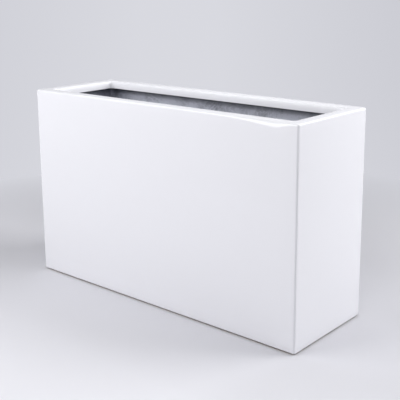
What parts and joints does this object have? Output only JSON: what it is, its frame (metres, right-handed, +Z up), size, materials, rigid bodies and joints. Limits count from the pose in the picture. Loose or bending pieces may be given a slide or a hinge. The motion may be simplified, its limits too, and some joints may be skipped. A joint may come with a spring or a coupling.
{
  "type": "trough planter",
  "caption": "Tall rectangular trough planter with thin gloss white moulded walls, an inward flat rim with a short return, a grey lined inside and plugged floor drains.",
  "frame": {"origin": "on the floor, under the middle of the trough", "axes": "+X along the length, -Y towards the front wall, +Z up"},
  "size_m": [1, 0.33, 0.604],
  "materials": {
    "white_paint": "gloss white paint on a glass fibre moulding",
    "grey_laminate": "rough grey resin and chopped glass mat",
    "plywood": "resin sealed plywood",
    "batten_timber": "planed softwood",
    "zinc_steel": "zinc plated",
    "black_rubber": "matt moulded rubber",
    "drain_plastic": "moulded black plastic",
    "brace_composite": "pultruded glass fibre section"
  },
  "bodies": {
    "planter": {"outer_shell": "white_paint", "inner_laminate": "grey_laminate", "floor_skin": "grey_laminate", "base_board_left": "plywood", "base_board_middle": "plywood", "base_board_right": "plywood", "front_strip": "batten_timber", "rear_strip": "batten_timber", "left_strip": "batten_timber", "right_strip": "batten_timber", "long_strip_screws": "zinc_steel", "end_strip_screws": "zinc_steel", "foot_front_left": "black_rubber", "foot_front_middle": "black_rubber", "foot_front_right": "black_rubber", "foot_rear_left": "black_rubber", "foot_rear_middle": "black_rubber", "foot_rear_right": "black_rubber", "foot_washers": "zinc_steel", "foot_screws": "zinc_steel", "centre_brace": "brace_composite", "brace_shoe_front": "brace_composite", "brace_shoe_rear": "brace_composite", "brace_bolts": "zinc_steel", "brace_nuts": "zinc_steel", "drain_bush_left": "drain_plastic", "drain_bush_right": "drain_plastic", "drain_nut_left": "drain_plastic", "drain_nut_right": "drain_plastic", "drain_seal_left": "black_rubber", "drain_seal_right": "black_rubber"},
    "plug_left": {"drain_plug_left": "black_rubber"},
    "plug_right": {"drain_plug_right": "black_rubber"}
  },
  "joints": [
    {"name": "drain_plug_left_pull", "type": "slide", "parent": "planter", "child": "plug_left", "axis": [0, 0, 1], "range_m": [0, 0.06]},
    {"name": "drain_plug_right_pull", "type": "slide", "parent": "planter", "child": "plug_right", "axis": [0, 0, 1], "range_m": [0, 0.06]}
  ]
}
